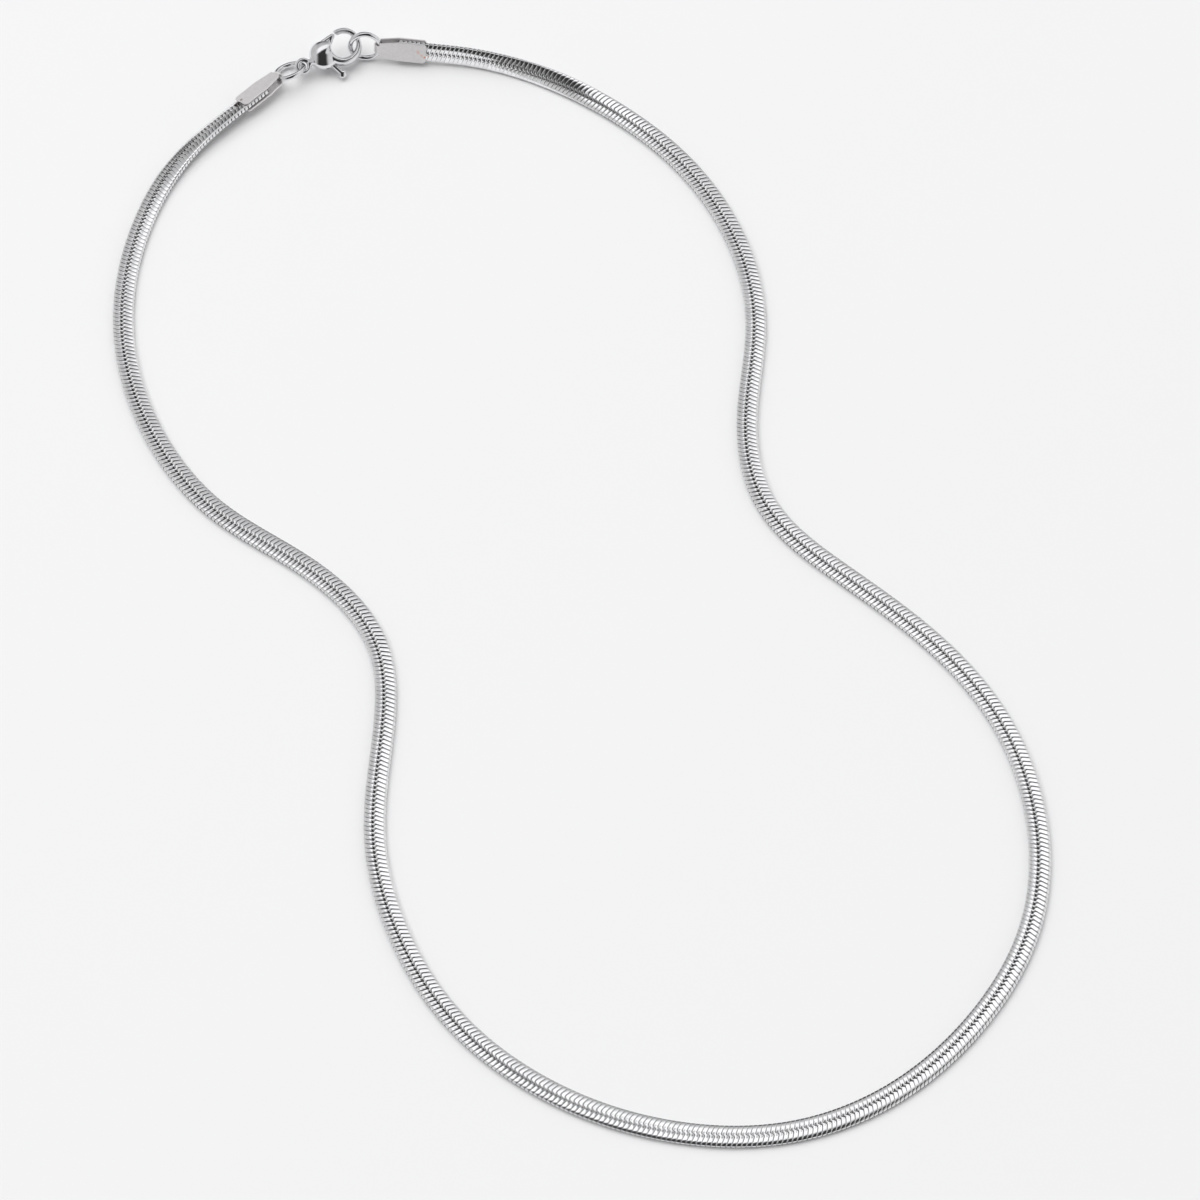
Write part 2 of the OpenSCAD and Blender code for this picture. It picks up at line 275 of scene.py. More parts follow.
def on_chain(table, along, across, height):
    """Places at a length along the chain, a distance to the left of its middle, and a height over it.

    place = middle + left * (across cos(roll) - height sin(roll)) + up * (across sin(roll) + height cos(roll))
    """
    length, middle, roll, left, _ = table
    place = np.stack([np.interp(along, length, middle[:, k]) for k in range(3)], -1)
    side = np.stack([np.interp(along, length, left[:, k]) for k in range(2)], -1)
    turn = np.interp(along, length, roll)
    flat = across * np.cos(turn) - height * np.sin(turn)
    place[..., :2] += side * flat[..., None]
    place[..., 2] += across * np.sin(turn) + height * np.cos(turn)
    return place


# Each link, from one side of the chain to the other: distance from the chain's middle in mm, top and
# underside in mm from it, width as a share of a whole link's, depth in mm of the pit on its crest, and
# how far that pit lies from the crest, as a share of half the width
LINK = np.array([
    # side, top, under, width, pit, lean
    (-1.425, 0.225, 0.170, 0.88, 0.00, 0.00),
    (-1.365, 0.300, 0.310, 1.07, 0.00, 0.00),
    (-1.020, 0.385, 0.450, 1.02, 0.00, 0.00),
    (-0.500, 0.424, 0.450, 1.00, 0.01, 0.20),
    (-0.270, 0.440, 0.450, 0.96, 0.16, 0.38),
    (-0.100, 0.450, 0.450, 0.88, 0.08, 0.30),
    (0.100, 0.450, 0.450, 0.88, 0.08, -0.30),
    (0.270, 0.440, 0.450, 0.96, 0.16, -0.38),
    (0.500, 0.424, 0.450, 1.00, 0.01, -0.20),
    (1.020, 0.385, 0.450, 1.02, 0.00, 0.00),
    (1.365, 0.300, 0.310, 1.07, 0.00, 0.00),
    (1.425, 0.225, 0.170, 0.88, 0.00, 0.00),
])
LINK_SLOPE = 0.364
LINK_KINK = 0.00031
KINK_REACH = 0.00012


def link_line(across):
    """How far along the chain a link's middle line lies: slope * x - kink * tanh(x / reach)."""
    return LINK_SLOPE * across - LINK_KINK * np.tanh(across / KINK_REACH)


def make_links(settings, table):
    """All links as one mesh: the profile of a pressed wire, carried across the chain along link_line.

    Section, at each place across: a low shoulder, the top's back edge, its crest, its front edge and
    the other shoulder, and two points underneath. A link keeps its width in a bend, and so the gaps
    open on the outer side and close on the inner one.

    A pit is deeper, and painted darker as shade, on the side that faces down the photograph, by the share
    0.55 - 0.8 * sign(side) * downhill, held between 0.15 and 1.
    """
    whole = table[0][-1]
    count = int((whole - settings.pitch) / settings.pitch)
    start = (whole - (count - 1) * settings.pitch) / 2
    centres = start + settings.pitch * np.arange(count)
    side, top, under, wide, pit, lean = LINK.T * np.array([MM, MM, MM, 1, MM, 1])[:, None]
    half = wide * (settings.pitch - settings.seam) / 2
    flat = 1 - settings.shoulder / half
    one = np.ones(len(side))
    share = np.column_stack([-one, -flat, lean, flat, one, 0.85 * one, -0.85 * one])
    downhill = np.interp(centres, table[0], table[3][:, 0])
    # The share by which a pit is deeper and painted darker as shade, set by its side of the chain and the way
    # the chain runs
    wear_and_shade = np.clip(0.55 - 0.8 * np.sign(side) * downhill[:, None], 0.15, 1)
    edge = top - settings.crest
    height = np.column_stack([edge - settings.drop, edge, top, edge, edge - settings.drop, -under, -under])
    height = np.repeat(height[None], count, 0)
    height[:, :, 2] -= pit * wear_and_shade
    bend = np.interp(centres, table[0], table[4])
    shrink = 1 / (1 + side[None, :] * bend[:, None])
    along = link_line(side)[None, :, None] + shrink[:, :, None] * (half[:, None] * share)[None]
    s = np.clip(centres[:, None, None] + along, 0, whole)
    across = np.broadcast_to(side[None, :, None], s.shape)
    points = on_chain(table, s, across, height)
    stations, sections = s.shape[1:]
    ring = np.arange(sections)
    a, b = wall_corners(stations, sections)
    walls = np.column_stack([a, b, b + sections, a + sections])
    base = np.arange(count)[:, None, None] * stations * sections
    faces = (walls[None] + base).reshape(-1, 4).tolist()
    first = (ring[::-1][None] + base[:, 0]).tolist()
    final = (ring[None] + (stations - 1) * sections + base[:, 0]).tolist()
    piece = mesh_object("chain_links", points.reshape(-1, 3), faces + first + final)
    hard_lines(piece, sections, soft=2)
    # Side walls of each link: the material paints them near black as shade in the gaps
    wall = np.tile(np.array([0, 0, 0, 0, 1, 0, 1], np.float32), count * (stations - 1))
    sides = piece.data.attributes.new("wall", "FLOAT", "FACE")
    sides.data.foreach_set("value", np.r_[wall, np.zeros(2 * count, np.float32)])
    # Each pit's depth share: the material paints it dark as shade in the pits
    pressed = np.zeros(s.shape)
    pressed[:, :, 2] = pit / pit.max() * wear_and_shade
    point_values(piece, "pressed", pressed)
    rng = np.random.default_rng(7)
    point_values(piece, "link", np.repeat(rng.random(count), stations * sections))
    return piece


def hard_lines(piece, sections, soft):
    """Marks every long edge as sharp but the crest's, where soft is the crest's place in the section."""
    edges = np.empty(len(piece.data.edges) * 2, np.int32)
    piece.data.edges.foreach_get("vertices", edges)
    edges = edges.reshape(-1, 2)
    ring = edges % sections
    sharp = (ring[:, 0] == ring[:, 1]) & (ring[:, 0] != soft)
    marks = piece.data.attributes.new("sharp_edge", "BOOLEAN", "EDGE")
    marks.data.foreach_set("value", sharp)


# The dark core: its half width and half height, how far it stops short of each end, and its rings of points
CORE_HALF_WIDTH = 0.00128
CORE_HALF_HEIGHT = 0.0003
CORE_SETBACK = 0.0004
CORE_RINGS = 900


def make_core(table):
    """The wires between the links as one bar, a little narrower and thinner than the chain, coloured near
    black as painted shade.
    """
    along = np.linspace(CORE_SETBACK, table[0][-1] - CORE_SETBACK, CORE_RINGS)
    across = CORE_HALF_WIDTH * np.array([1, 0.8, -0.8, -1, -1, -0.8, 0.8, 1])
    height = CORE_HALF_HEIGHT * np.array([0.3, 1, 1, 0.3, -0.3, -1, -1, -0.3])
    around = len(across)
    s = np.repeat(along[:, None], around, 1)
    points = on_chain(table, s, np.broadcast_to(across, s.shape), np.broadcast_to(height, s.shape))
    ring = np.arange(around)
    a, b = wall_corners(CORE_RINGS, around)
    faces = np.column_stack([a, b, b + around, a + around]).tolist()
    faces.append(ring[::-1].tolist())
    faces.append((ring + (CORE_RINGS - 1) * around).tolist())
    return mesh_object("chain_core", points.reshape(-1, 3), faces, smooth=False)


# Materials

# The top of the hook, where the polish is rough with fine file marks
HOOK_TOP = (-0.0327, 0.0838, 0.0042)

# Stains at the mouth of each end cap: rust, and at the clasp end cap's mouth a dark red-brown spot that is
# partly rust and partly painted shade of the hollow there
LINK_STAINS_AND_SHADE = (
    # Painted shade of the hollow at the clasp end cap's mouth, on the links, with a red-brown rust tint
    ((-0.04680, 0.07315, 0.0019), 0.00095, "#260d0a", 2.4),
    ((-0.02010, 0.08110, 0.0017), 0.00030, "#b5683f", 0.6),
)
CAP_STAINS_AND_SHADE = (
    # Painted shade of the hollow at the clasp end cap's mouth, with a red-brown rust tint; the spots after it
    # are stains
    ((-0.04640, 0.07355, 0.0022), 0.00038, "#5a1f16", 1.0),
    ((-0.02055, 0.08100, 0.0017), 0.00034, "#e08a50", 1.0),
    ((-0.02148, 0.08127, 0.0026), 0.00040, "#e0b9ab", 0.8),
    ((-0.02100, 0.08107, 0.0021), 0.00036, "#e3b096", 0.8),
)


def polished_links(colour):
    """Polished stainless steel, pressed flat: bright, softly blurred tops, and painted shade, almost black,
    on the walls between links and in the pits.
    """
    material, tree = new_material("polished stainless steel links")
    wall = add_node(tree, "ShaderNodeAttribute", attribute_name="wall")
    pressed = add_node(tree, "ShaderNodeAttribute", attribute_name="pressed")
    # Painted shade: the deeper a pit, the darker it is painted
    pit_shade = add_node(tree, "ShaderNodeMapRange", {"Value": pressed.outputs["Fac"]},
                    {"From Min": 0.12, "From Max": 0.6, "To Max": 0.96})
    dark = add_node(tree, "ShaderNodeMath", {0: wall.outputs["Fac"], 1: pit_shade.outputs[0]}, operation="MAXIMUM")
    link = add_node(tree, "ShaderNodeAttribute", attribute_name="link")
    place = add_node(tree, "ShaderNodeTexCoord")
    tint = add_node(tree, "ShaderNodeMapRange", {"Value": link.outputs["Fac"]},
                    {"To Min": 0.94, "To Max": 1.05})
    metal = add_node(tree, "ShaderNodeVectorMath", {"Scale": tint.outputs[0]}, {0: colour}, operation="SCALE")
    # Painted shade: side walls and pits mixed towards near black
    base = add_node(tree, "ShaderNodeMixRGB", {"Fac": dark.outputs[0], "Color1": metal.outputs[0]},
                    {"Color2": linear("#100e10")})
    # Stains, and painted shade of the hollow at the clasp end cap's mouth
    wear_and_shade = stained_and_shaded(tree, base.outputs[0], place.outputs["Object"], LINK_STAINS_AND_SHADE)
    grain = add_node(tree, "ShaderNodeTexNoise", {"Vector": place.outputs["Object"]},
                     {"Scale": 1500.0, "Detail": 3.0})
    rough = add_node(tree, "ShaderNodeMapRange", {"Value": grain.outputs["Fac"]},
                     {"To Min": 0.08, "To Max": 0.15})
    bump = add_node(tree, "ShaderNodeBump", {"Height": grain.outputs["Fac"]},
                    {"Strength": 0.05, "Distance": 0.00002})
    shader = add_node(tree, "ShaderNodeBsdfPrincipled",
                      {"Base Color": wear_and_shade, "Roughness": rough.outputs[0],
                       "Normal": bump.outputs[0]}, {"Metallic": 1.0})
    finish_material(tree, shader)
    return material


def dark_gap():
    """Dull steel painted near black as shade deep between the links: it gives the black dashes."""
    material, tree = new_material("near-black painted shade between the links")
    place = add_node(tree, "ShaderNodeTexCoord")
    grain = add_node(tree, "ShaderNodeTexNoise", {"Vector": place.outputs["Object"]}, {"Scale": 2000.0})
    shade = add_node(tree, "ShaderNodeValToRGB", {"Fac": grain.outputs["Fac"]})
    # Painted shade: near-black tones for the bar between the links
    set_ramp(shade.color_ramp, [(0.3, linear("#0a090b")), (0.7, linear("#1d1b1e"))])
    shader = add_node(tree, "ShaderNodeBsdfPrincipled", {"Base Color": shade.outputs[0]},
                      {"Metallic": 1.0, "Roughness": 0.7})
    finish_material(tree, shader)
    return material


def satin_steel():
    """Satin-finished steel sheet: an even grey with a faint grain along its length."""
    material, tree = new_material("satin stainless steel sheet")
    place = add_node(tree, "ShaderNodeTexCoord")
    grain = add_node(tree, "ShaderNodeTexNoise", {"Vector": place.outputs["Object"]},
                     {"Scale": 2500.0, "Detail": 2.0})
    shade = add_node(tree, "ShaderNodeValToRGB", {"Fac": grain.outputs["Fac"]})
    set_ramp(shade.color_ramp, [(0.3, linear("#e2dfdf")), (0.7, linear("#eae8e8"))])
    # Stains, and a spot of painted shade at the clasp end cap's mouth
    wear_and_shade = stained_and_shaded(tree, shade.outputs[0], place.outputs["Object"], CAP_STAINS_AND_SHADE)
    rough = add_node(tree, "ShaderNodeMapRange", {"Value": grain.outputs["Fac"]},
                     {"To Min": 0.34, "To Max": 0.42})
    shader = add_node(tree, "ShaderNodeBsdfPrincipled",
                      {"Base Color": wear_and_shade, "Roughness": rough.outputs[0]}, {"Metallic": 0.6})
    finish_material(tree, shader)
    return material


def bright_steel():
    """Tumbled and polished steel: a clear mirror with small waves, rougher where the hook's top is filed."""
    material, tree = new_material("tumbled stainless steel")
    place = add_node(tree, "ShaderNodeTexCoord")
    grain = add_node(tree, "ShaderNodeTexNoise", {"Vector": place.outputs["Object"]},
                     {"Scale": 900.0, "Detail": 2.0})
    shade = add_node(tree, "ShaderNodeValToRGB", {"Fac": grain.outputs["Fac"]})
    set_ramp(shade.color_ramp, [(0.3, linear("#dfdfe1")), (0.7, linear("#ececee"))])
    away = add_node(tree, "ShaderNodeVectorMath", {0: place.outputs["Object"]}, {1: HOOK_TOP},
                    operation="DISTANCE")
    filed = add_node(tree, "ShaderNodeMapRange", {"Value": away.outputs["Value"]},
                     {"From Min": 0.0017, "From Max": 0.0009}, interpolation_type="SMOOTHSTEP")
    polish = add_node(tree, "ShaderNodeMapRange", {"Value": grain.outputs["Fac"]},
                      {"To Min": 0.06, "To Max": 0.12})
    rough = add_node(tree, "ShaderNodeMath", {0: filed.outputs[0], 2: polish.outputs[0]}, {1: 0.30},
                     operation="MULTIPLY_ADD")
    teeth = add_node(tree, "ShaderNodeTexNoise", {"Vector": place.outputs["Object"]},
                     {"Scale": 6000.0, "Detail": 1.0})
    cut = add_node(tree, "ShaderNodeMath", {0: teeth.outputs["Fac"], 1: filed.outputs[0]},
                   operation="MULTIPLY")
    height = add_node(tree, "ShaderNodeMath", {0: cut.outputs[0], 2: grain.outputs["Fac"]}, {1: 4.0},
                      operation="MULTIPLY_ADD")
    bump = add_node(tree, "ShaderNodeBump", {"Height": height.outputs[0]},
                    {"Strength": 0.1, "Distance": 0.00002})
    shader = add_node(tree, "ShaderNodeBsdfPrincipled",
                      {"Base Color": shade.outputs[0], "Roughness": rough.outputs[0],
                       "Normal": bump.outputs[0]}, {"Metallic": 1.0})
    finish_material(tree, shader)
    return material


# Faces that meet at more than this many degrees have a hard edge: on the source's pieces, and on cast ones
SOURCE_EDGE = 35
CAST_EDGE = 45


def smooth_copy(node, name, flat=False):
    """A merged copy of a CAD node, shaded softly but for its hard edges.

    flat makes one face of those that lie in one plane.
    """
    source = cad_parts[node]
    mesh = source.data.copy()
    mesh.name = name
    mesh.materials.clear()
    work = bmesh.new()
    work.from_mesh(mesh)
    bmesh.ops.remove_doubles(work, verts=work.verts, dist=1e-7)
    if flat:
        bmesh.ops.dissolve_limit(work, angle_limit=math.radians(0.5), verts=work.verts, edges=work.edges)
    work.to_mesh(mesh)
    work.free()
    mesh.polygons.foreach_set("use_smooth", np.full(len(mesh.polygons), True))
    mesh.set_sharp_from_angle(angle=math.radians(SOURCE_EDGE))
    piece = bpy.data.objects.new(name, mesh)
    bpy.context.scene.collection.objects.link(piece)
    return piece


# The clasp's own frame, as in the part's source: where the middle of its eye lies, in mm, and its turns.
# In that frame the hook lies towards +X, and the numbers are millimetres or degrees
CLASP_AT = np.array([-37.75, 79.25, 2.0841])
CLASP_TURN = (28, -5, 26)
HOOK_MIDDLE = np.array([6.5, 0.2])
HOOK_OUTER = 2.6
HOOK_ARM = 0.8
HOOK_TAIL = -176
HOOK_END = 103
EYE_OUTER = 1.2
BODY_MIDDLE = np.array([3.3, 0.2])
BODY_RADIUS = 2.1
BODY_HALF = 1.35
BODY_RIM = 1.0
PIVOT = np.array([3.3, -0.2])
GATE_TIP = np.array([5.536, 2.177])
GATE_SHOULDER = np.array([3.688, 1.881])
TAB_END = np.array([4.628, -3.330])
PIN_RADIUS = 0.35
PIN_HALF = 1.1
HUB_RADIUS = 0.74
HUB_HALF = 0.35
HUB_BORE = 0.39
SLOT_HALF = 0.43
SLOT_ROUND_HUB = 0.83
SLOT_ROUND_LEVER = 0.455
LEVER_OPEN = 25
# The neck between eye and body: distance from the eye's middle, and radius
NECK = ((0.75, 0.36), (1.1, 0.50), (1.5, 0.78), (2.0, 1.0))
# The cubes of the remesh, and the reach within which corners are welded after a cut
CASTING_VOXEL = 0.055
LEVER_VOXEL = 0.05
CUT_WELD = 0.003


def closed_tube(points):
    """The faces of a row of rings of points, with a flat end on the first and the last."""
    rings, around = points.shape[:2]
    ring = np.arange(around)
    a, b = wall_corners(rings, around)
    faces = np.column_stack([a, a + around, b + around, b]).tolist()
    faces.append(ring.tolist())
    faces.append((ring[::-1] + (rings - 1) * around).tolist())
    return points.reshape(-1, 3), faces


def bent_tube(middle, outer, turns, wide, high, around=20):
    """A tube bent about a middle point, with its outer radius and its two thicknesses given at each turn.

    At a turn t and a place p round the section, radius = outer - wide/2 + wide/2 cos(p) and
    height = high/2 sin(p).
    """
    turn = np.radians(np.asarray(turns, float))[:, None]
    outer, wide, high = (np.broadcast_to(value, len(turns))[:, None] for value in (outer, wide, high))
    place = np.linspace(0, 2 * math.pi, around, endpoint=False)[None]
    radius = outer - wide / 2 + wide / 2 * np.cos(place)
    return closed_tube(np.stack([middle[0] + radius * np.cos(turn), middle[1] + radius * np.sin(turn),
                                 high / 2 * np.sin(place) + 0 * turn], -1))


def rod(start, end, radii, lift=1.0):
    """A round bar between two places in the lever's plane, with half-round ends; lift flattens its height.

    Half-round ends: the radius is r cos(e) where the end runs on by r sin(e).
    """
    start, end = np.asarray(start, float), np.asarray(end, float)
    way = (end - start) / np.linalg.norm(end - start)
    left = np.array([-way[1], way[0]])
    bow = np.radians([80, 60, 40, 20, 0])
    along = np.r_[-radii[0] * np.sin(bow), np.linalg.norm(end - start) + radii[1] * np.sin(bow[::-1])]
    radius = np.r_[radii[0] * np.cos(bow), radii[1] * np.cos(bow[::-1])][:, None]
    place = np.linspace(0, 2 * math.pi, 20, endpoint=False)[None]
    middle = start + along[:, None] * way
    side = radius * np.cos(place)
    return closed_tube(np.stack([middle[:, None, 0] + side * left[0], middle[:, None, 1] + side * left[1],
                                 -lift * radius * np.sin(place)], -1))


def prism(outline, half):
    """A flat plate between -half and +half in height, from an outline that runs anticlockwise."""
    outline = np.asarray(outline, float)
    levels = [np.column_stack([outline, np.full(len(outline), z)]) for z in (half, -half)]
    return closed_tube(np.stack(levels))


def disc(middle, radius, half, around=40):
    """A round plate between -half and +half in height."""
    turn = np.linspace(0, 2 * math.pi, around, endpoint=False)
    return prism(middle + radius * np.column_stack([np.cos(turn), np.sin(turn)]), half)


def lens_body():
    """The round body: a lathed lens whose edge is pulled in where the hook's opening begins.

    Height over the middle: two wide arcs that run into a round rim. Reach at a turn t from the body's
    middle: the lesser of the body's radius and g cos(t) - sqrt(h^2 - g^2 sin(t)^2), the opening's edge,
    where g is the way to the hook's middle and h the opening's radius.
    """
    rim_at = BODY_RADIUS - BODY_RIM
    arc = (rim_at ** 2 + BODY_HALF ** 2 - BODY_RIM ** 2) / (2 * (BODY_HALF - BODY_RIM))
    meet = rim_at * arc / (arc - BODY_RIM)
    inner = np.linspace(0.02, meet, 12)
    height = BODY_HALF - arc + np.sqrt(arc ** 2 - inner ** 2)
    lift = np.arcsin(height[-1] / BODY_RIM)
    turn = np.linspace(lift, -lift, 13)[1:-1]
    reach = np.r_[inner, rim_at + BODY_RIM * np.cos(turn), inner[::-1]]
    height = np.r_[height, BODY_RIM * np.sin(turn), -height[::-1]]
    around = np.linspace(-math.pi, math.pi, 72, endpoint=False)
    gap = HOOK_MIDDLE[0] - BODY_MIDDLE[0]
    opening = HOOK_OUTER - HOOK_ARM
    room = np.maximum(opening ** 2 - (gap * np.sin(around)) ** 2, 0)
    edge = np.where((np.abs(around) < math.pi / 2) & (room > 0),
                    gap * np.cos(around) - np.sqrt(room), BODY_RADIUS)
    share = np.minimum(edge, BODY_RADIUS) / BODY_RADIUS
    radius = reach[:, None] * share[None]
    return closed_tube(np.stack([BODY_MIDDLE[0] + radius * np.cos(around),
                                 BODY_MIDDLE[1] + radius * np.sin(around),
                                 height[:, None] + 0 * radius], -1))


def joined(name, parts):
    """One object in millimetres from closed parts that may pass through each other."""
    points, faces, base = [], [], 0
    for places, around in parts:
        points.append(CLASP_AT + turned(places, CLASP_TURN))
        faces += [[base + k for k in face] for face in around]
        base += len(places)
    return mesh_object(name, np.vstack(points), faces)


def clear_folds(work, reach):
    """Welds corners nearer than reach, and takes away the slivers that a cut leaves.

    These are faces folded on each other, with the same corners, and flaps, with an edge that no other
    face has.
    """
    bmesh.ops.remove_doubles(work, verts=work.verts, dist=reach)
    bmesh.ops.dissolve_degenerate(work, edges=work.edges, dist=reach)
    bmesh.ops.triangulate(work, faces=work.faces)
    alike = {}
    for face in work.faces:
        alike.setdefault(frozenset(face.verts), []).append(face)
    folded = [face for faces in alike.values() if len(faces) > 1 for face in faces]
    bmesh.ops.delete(work, geom=folded, context="FACES")
    flaps = [face for face in work.faces if any(len(edge.link_faces) == 1 for edge in face.edges)]
    bmesh.ops.delete(work, geom=flaps, context="FACES")


def cast_piece(name, parts, holes, pins, voxel, rounds):
    """One cast piece: parts joined by a remesh to cubes and smoothed, less some holes, with pins added.

    It is worked in millimetres, because the remesh takes no finer cubes in metres.
    """
    rough = joined(name + "_rough", parts)
    remesh = rough.modifiers.new("cast", "REMESH")
    remesh.mode = "VOXEL"
    remesh.voxel_size = voxel
    tumble = rough.modifiers.new("tumbled", "SMOOTH")
    tumble.factor = 0.5
    tumble.iterations = rounds
    cutters = [joined(name + "_hole", [hole]) for hole in holes]
    for cutter in cutters:
        cut = rough.modifiers.new("cut", "BOOLEAN")
        cut.operation = "DIFFERENCE"
        cut.solver = "EXACT"
        cut.object = cutter
    cast = bpy.data.meshes.new_from_object(rough.evaluated_get(bpy.context.evaluated_depsgraph_get()))
    for spare in (rough, *cutters):
        bpy.data.objects.remove(spare)
    work = bmesh.new()
    work.from_mesh(cast)
    clear_folds(work, CUT_WELD)
    for places, around in pins:
        corners = [work.verts.new(place) for place in CLASP_AT + turned(places, CLASP_TURN)]
        for face in around:
            work.faces.new([corners[k] for k in face])
    bmesh.ops.scale(work, vec=(MM, MM, MM), verts=work.verts)
    work.to_mesh(cast)
    work.free()
    cast.materials.clear()
    cast.name = name
    cast.polygons.foreach_set("use_smooth", np.full(len(cast.polygons), True))
    cast.set_sharp_from_angle(angle=math.radians(CAST_EDGE))
    piece = bpy.data.objects.new(name, cast)
    bpy.context.scene.collection.objects.link(piece)
    return piece


def swept_strip(start, stop, half, reach):
    """The room that a strip from the pivot needs as it turns from one angle to another."""
    def edge(turn, along, side):
        way = np.array([math.cos(turn), math.sin(turn)])
        return PIVOT + along * way + side * np.array([-way[1], way[0]])
    turns = np.radians(np.linspace(start, stop, 7))
    rows = [edge(turns[0], 0, half), edge(turns[0], reach, half)]
    rows += [edge(turn, reach * 1.1, 0) for turn in turns]
    rows += [edge(turns[-1], reach, -half), edge(turns[-1], 0, -half)]
    return np.array(rows)[::-1]


def make_clasp_body():
    """The clasp's cast body: a lens, a hook that is thicker below, a stout eye, and a waisted neck.

    The slot takes the lever from shut to open, and a pin crosses it.
    """
    turns = np.linspace(HOOK_TAIL, HOOK_END, 94)
    share = np.clip((turns - HOOK_TAIL) / -HOOK_TAIL, 0, 1)
    tip = np.clip((HOOK_END - turns) / 5, 0.4, 1)
    outer = HOOK_OUTER + 0.6 * (1 - np.clip(share / 0.6, 0, 1))
    wide = (1.45 - 0.60 * share ** 1.1) * tip ** 0.5
    high = (2.4 - 1.25 * share ** 0.8) * tip ** 0.5
    hook = bent_tube(HOOK_MIDDLE, outer, turns, wide, high)
    eye = bent_tube((0, 0), EYE_OUTER, np.linspace(0, 360, 49), 0.66, 0.70)
    neck_at, neck_radius = np.array(NECK).T[:, :, None]
    place = np.linspace(0, 2 * math.pi, 24, endpoint=False)[None]
    neck = closed_tube(np.stack([neck_at + 0 * place, 0.06 + neck_radius * np.cos(place),
                                 -neck_radius * np.sin(place)], -1))
    gate = GATE_TIP - PIVOT
    shoulder = GATE_SHOULDER - PIVOT
    shut = math.degrees(math.atan2(shoulder[1], shoulder[0])) + 1
    open_at = math.degrees(math.atan2(gate[1], gate[0])) - LEVER_OPEN
    tab = TAB_END - PIVOT
    tab_at = math.degrees(math.atan2(tab[1], tab[0]))
    holes = (
        disc(PIVOT, SLOT_ROUND_HUB, SLOT_HALF),
        prism(swept_strip(shut, open_at, SLOT_ROUND_LEVER, np.linalg.norm(gate) - 0.375), SLOT_HALF),
        prism(swept_strip(tab_at, tab_at - LEVER_OPEN, SLOT_ROUND_LEVER, 4.0), SLOT_HALF),
    )
    return cast_piece("clasp_casting", (lens_body(), hook, eye, neck), holes,
                      (disc(PIVOT, PIN_RADIUS, PIN_HALF, 24),), CASTING_VOXEL, 12)


def make_lever():
    """The lever: a hub on the pin, a gate over the shoulder to the hook's end, and a thumb tab.

    Each rod has its two ends and the radius at each; a last number flattens its height.
    """
    parts = (
        disc(PIVOT, HUB_RADIUS, HUB_HALF),
        rod(PIVOT, GATE_TIP, (0.34, 0.35)),
        rod(PIVOT, GATE_SHOULDER, (0.34, 0.36)),
        rod(GATE_SHOULDER, GATE_TIP, (0.36, 0.37)),
        rod(PIVOT + 0.72 * (GATE_SHOULDER - PIVOT), GATE_TIP - 0.1, (0.66, 0.40), 0.57),
        rod(PIVOT, TAB_END, (0.34, 0.34)),
        rod(TAB_END - 0.01, TAB_END + 0.01, (0.59, 0.59), 0.6),
    )
    return cast_piece("clasp_gate", parts, (disc(PIVOT, HUB_BORE, 1.0),), (), LEVER_VOXEL, 6)


# Operators, one for each piece or group of like pieces

class NECKLACE_OT_chain(bpy.types.Operator):
    """Make the links of the chain and the bar between them, near black as painted shade"""
    bl_idname = "necklace.chain"
    bl_label = "Chain"

    def execute(self, context):
        settings = context.scene.necklace_chain
        table = way_table()
        links = make_links(settings, table)
        links.data.materials.append(polished_links(settings.metal))
        core = make_core(table)
        core.data.materials.append(dark_gap())
        for piece in (links, core):
            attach(piece, "necklace")
        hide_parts("chain")
        return {"FINISHED"}


class NECKLACE_OT_end_caps(bpy.types.Operator):
    """Make the two folded end caps"""
    bl_idname = "necklace.end_caps"
    bl_label = "End caps"

    def execute(self, context):
        satin = satin_steel()
        for node in ("clasp_end_cap", "catch_end_cap"):
            piece = smooth_copy(node, node + "_sheet", flat=True)
            piece.data.materials.append(satin)
            edge = piece.modifiers.new("rolled edges", "BEVEL")
            edge.width = 0.00005
            edge.segments = 3
            edge.limit_method = "ANGLE"
            edge.angle_limit = math.radians(40)
            edge.harden_normals = True
            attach(piece, "necklace")
            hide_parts(node)
        return {"FINISHED"}


class NECKLACE_OT_fittings(bpy.types.Operator):
    """Make the jump rings and the clasp"""
    bl_idname = "necklace.fittings"
    bl_label = "Rings and clasp"

    def execute(self, context):
        bright = bright_steel()
        made = (
            (smooth_copy("clasp_ring", "clasp_ring_wire"), "clasp_ring", "necklace"),
            (smooth_copy("catch_ring", "catch_ring_wire"), "catch_ring", "necklace"),
            (make_clasp_body(), "clasp_body", "necklace"),
            (make_lever(), "clasp_lever", "lever"),
        )
        for piece, node, body in made:
            piece.data.materials.append(bright)
            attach(piece, body)
            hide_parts(node)
        return {"FINISHED"}


class NECKLACE_OT_stage(bpy.types.Operator):
    """Make the pale floor, the soft light and the camera"""
    bl_idname = "necklace.stage"
    bl_label = "Floor, light and camera"

    def execute(self, context):
        settings = context.scene.necklace_stage
        make_floor(settings)
        make_light(settings)
        make_surroundings()
        make_camera()
        return {"FINISHED"}


FLOOR_HALF = 1.5
LAMP_SIZE = 2.2
LAMP_PLACE = (-0.42, 0.45, 1.7)
CAMERA_PLACE = (0.0044, -0.3129, 0.5653)
CAMERA_DOWN = 61.5
# What the metal mirrors: degrees from the back horizon over the zenith to the front one, and brightness
SKY = ((0, 0.04), (17, 0.04), (32, 0.44), (56, 0.58), (66, 1.16), (84, 1.16), (93, 0.04), (180, 0.04))
SKY_SLANT = 40


